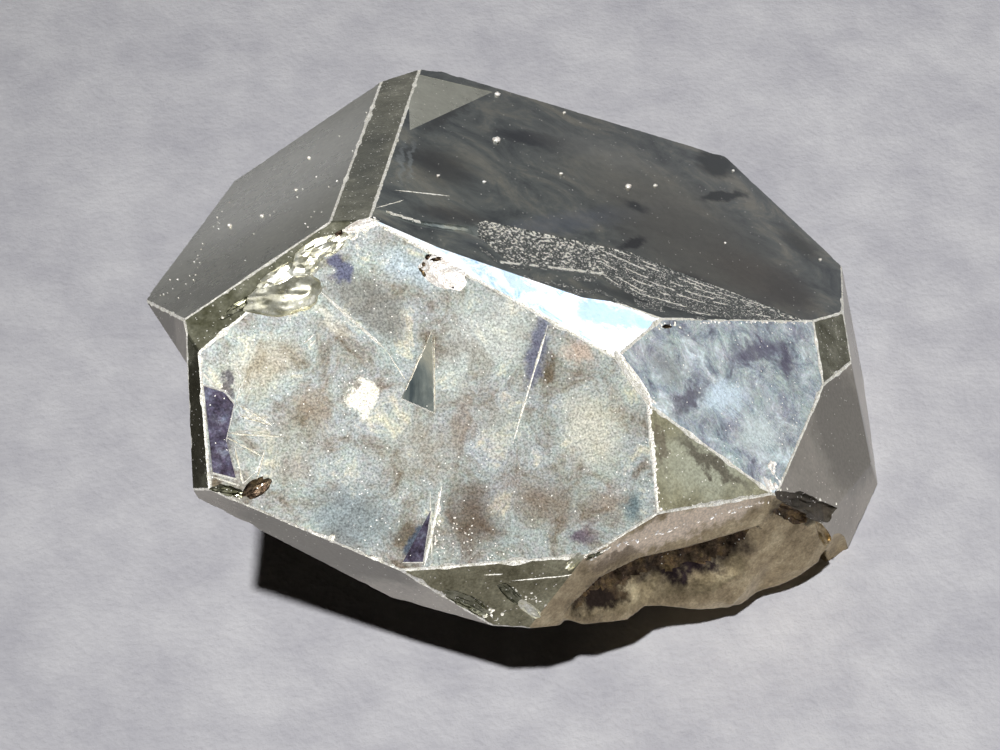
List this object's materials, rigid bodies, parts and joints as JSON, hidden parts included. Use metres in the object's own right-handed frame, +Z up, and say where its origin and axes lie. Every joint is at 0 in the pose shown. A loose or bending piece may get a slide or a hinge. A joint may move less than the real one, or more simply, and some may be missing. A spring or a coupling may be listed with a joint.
{
  "type": "pyrite crystal",
  "caption": "Single metallic pyrite crystal, a flattened cube-octahedron with narrow bevel faces, chipped edges and a rough contact side.",
  "frame": {"origin": "middle of the bounding box in plan, on the surface it rests on", "axes": "+Z up, -Y toward the side with the broad front octahedron face, +X to the right of that side; the longest extent runs along X"},
  "size_m": [0.017, 0.0167, 0.0095],
  "materials": {
    "pyrite": "polished"
  },
  "bodies": {
    "root": {"pyrite_crystal": "pyrite"}
  },
  "joints": []
}
